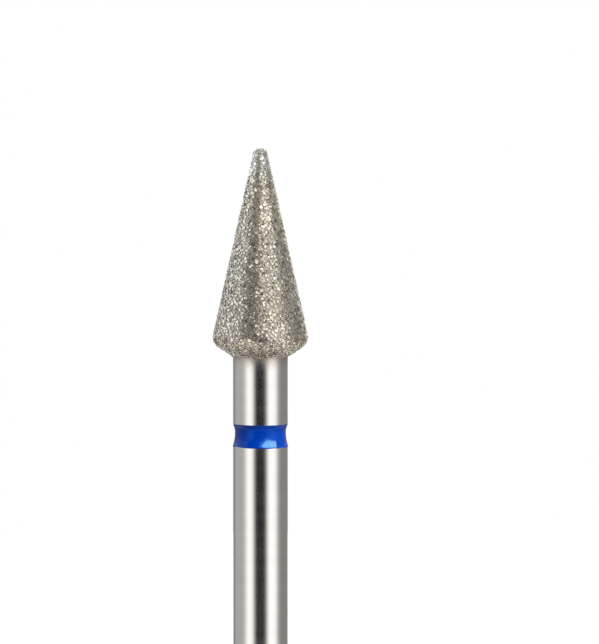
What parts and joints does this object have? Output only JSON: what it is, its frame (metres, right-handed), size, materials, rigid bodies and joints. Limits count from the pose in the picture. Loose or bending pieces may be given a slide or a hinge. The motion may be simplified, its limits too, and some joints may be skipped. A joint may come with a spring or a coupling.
{
  "type": "dental bur",
  "caption": "Cone-shaped diamond dental bur with a plain round handpiece shank, a grit-coated tapered head and a blue lacquer ring in a shallow groove.",
  "frame": {"origin": "on the bur's axis, at the centre of the flat end of its shank, which goes into the handpiece first", "axes": "+Z is the bur's axis, from the shank's end towards the tip; X and Y are free, because the bur is round"},
  "size_m": [0.004, 0.004, 0.0445],
  "materials": {
    "turned_steel": "polished, with faint turning marks",
    "diamond_grit": "rough, warm grey diamond grains in plated nickel",
    "blue_lacquer": "glossy deep blue lacquer"
  },
  "bodies": {
    "root": {"steel_blank": "turned_steel", "grit_coating": "diamond_grit", "grade_ring": "blue_lacquer"}
  },
  "joints": []
}
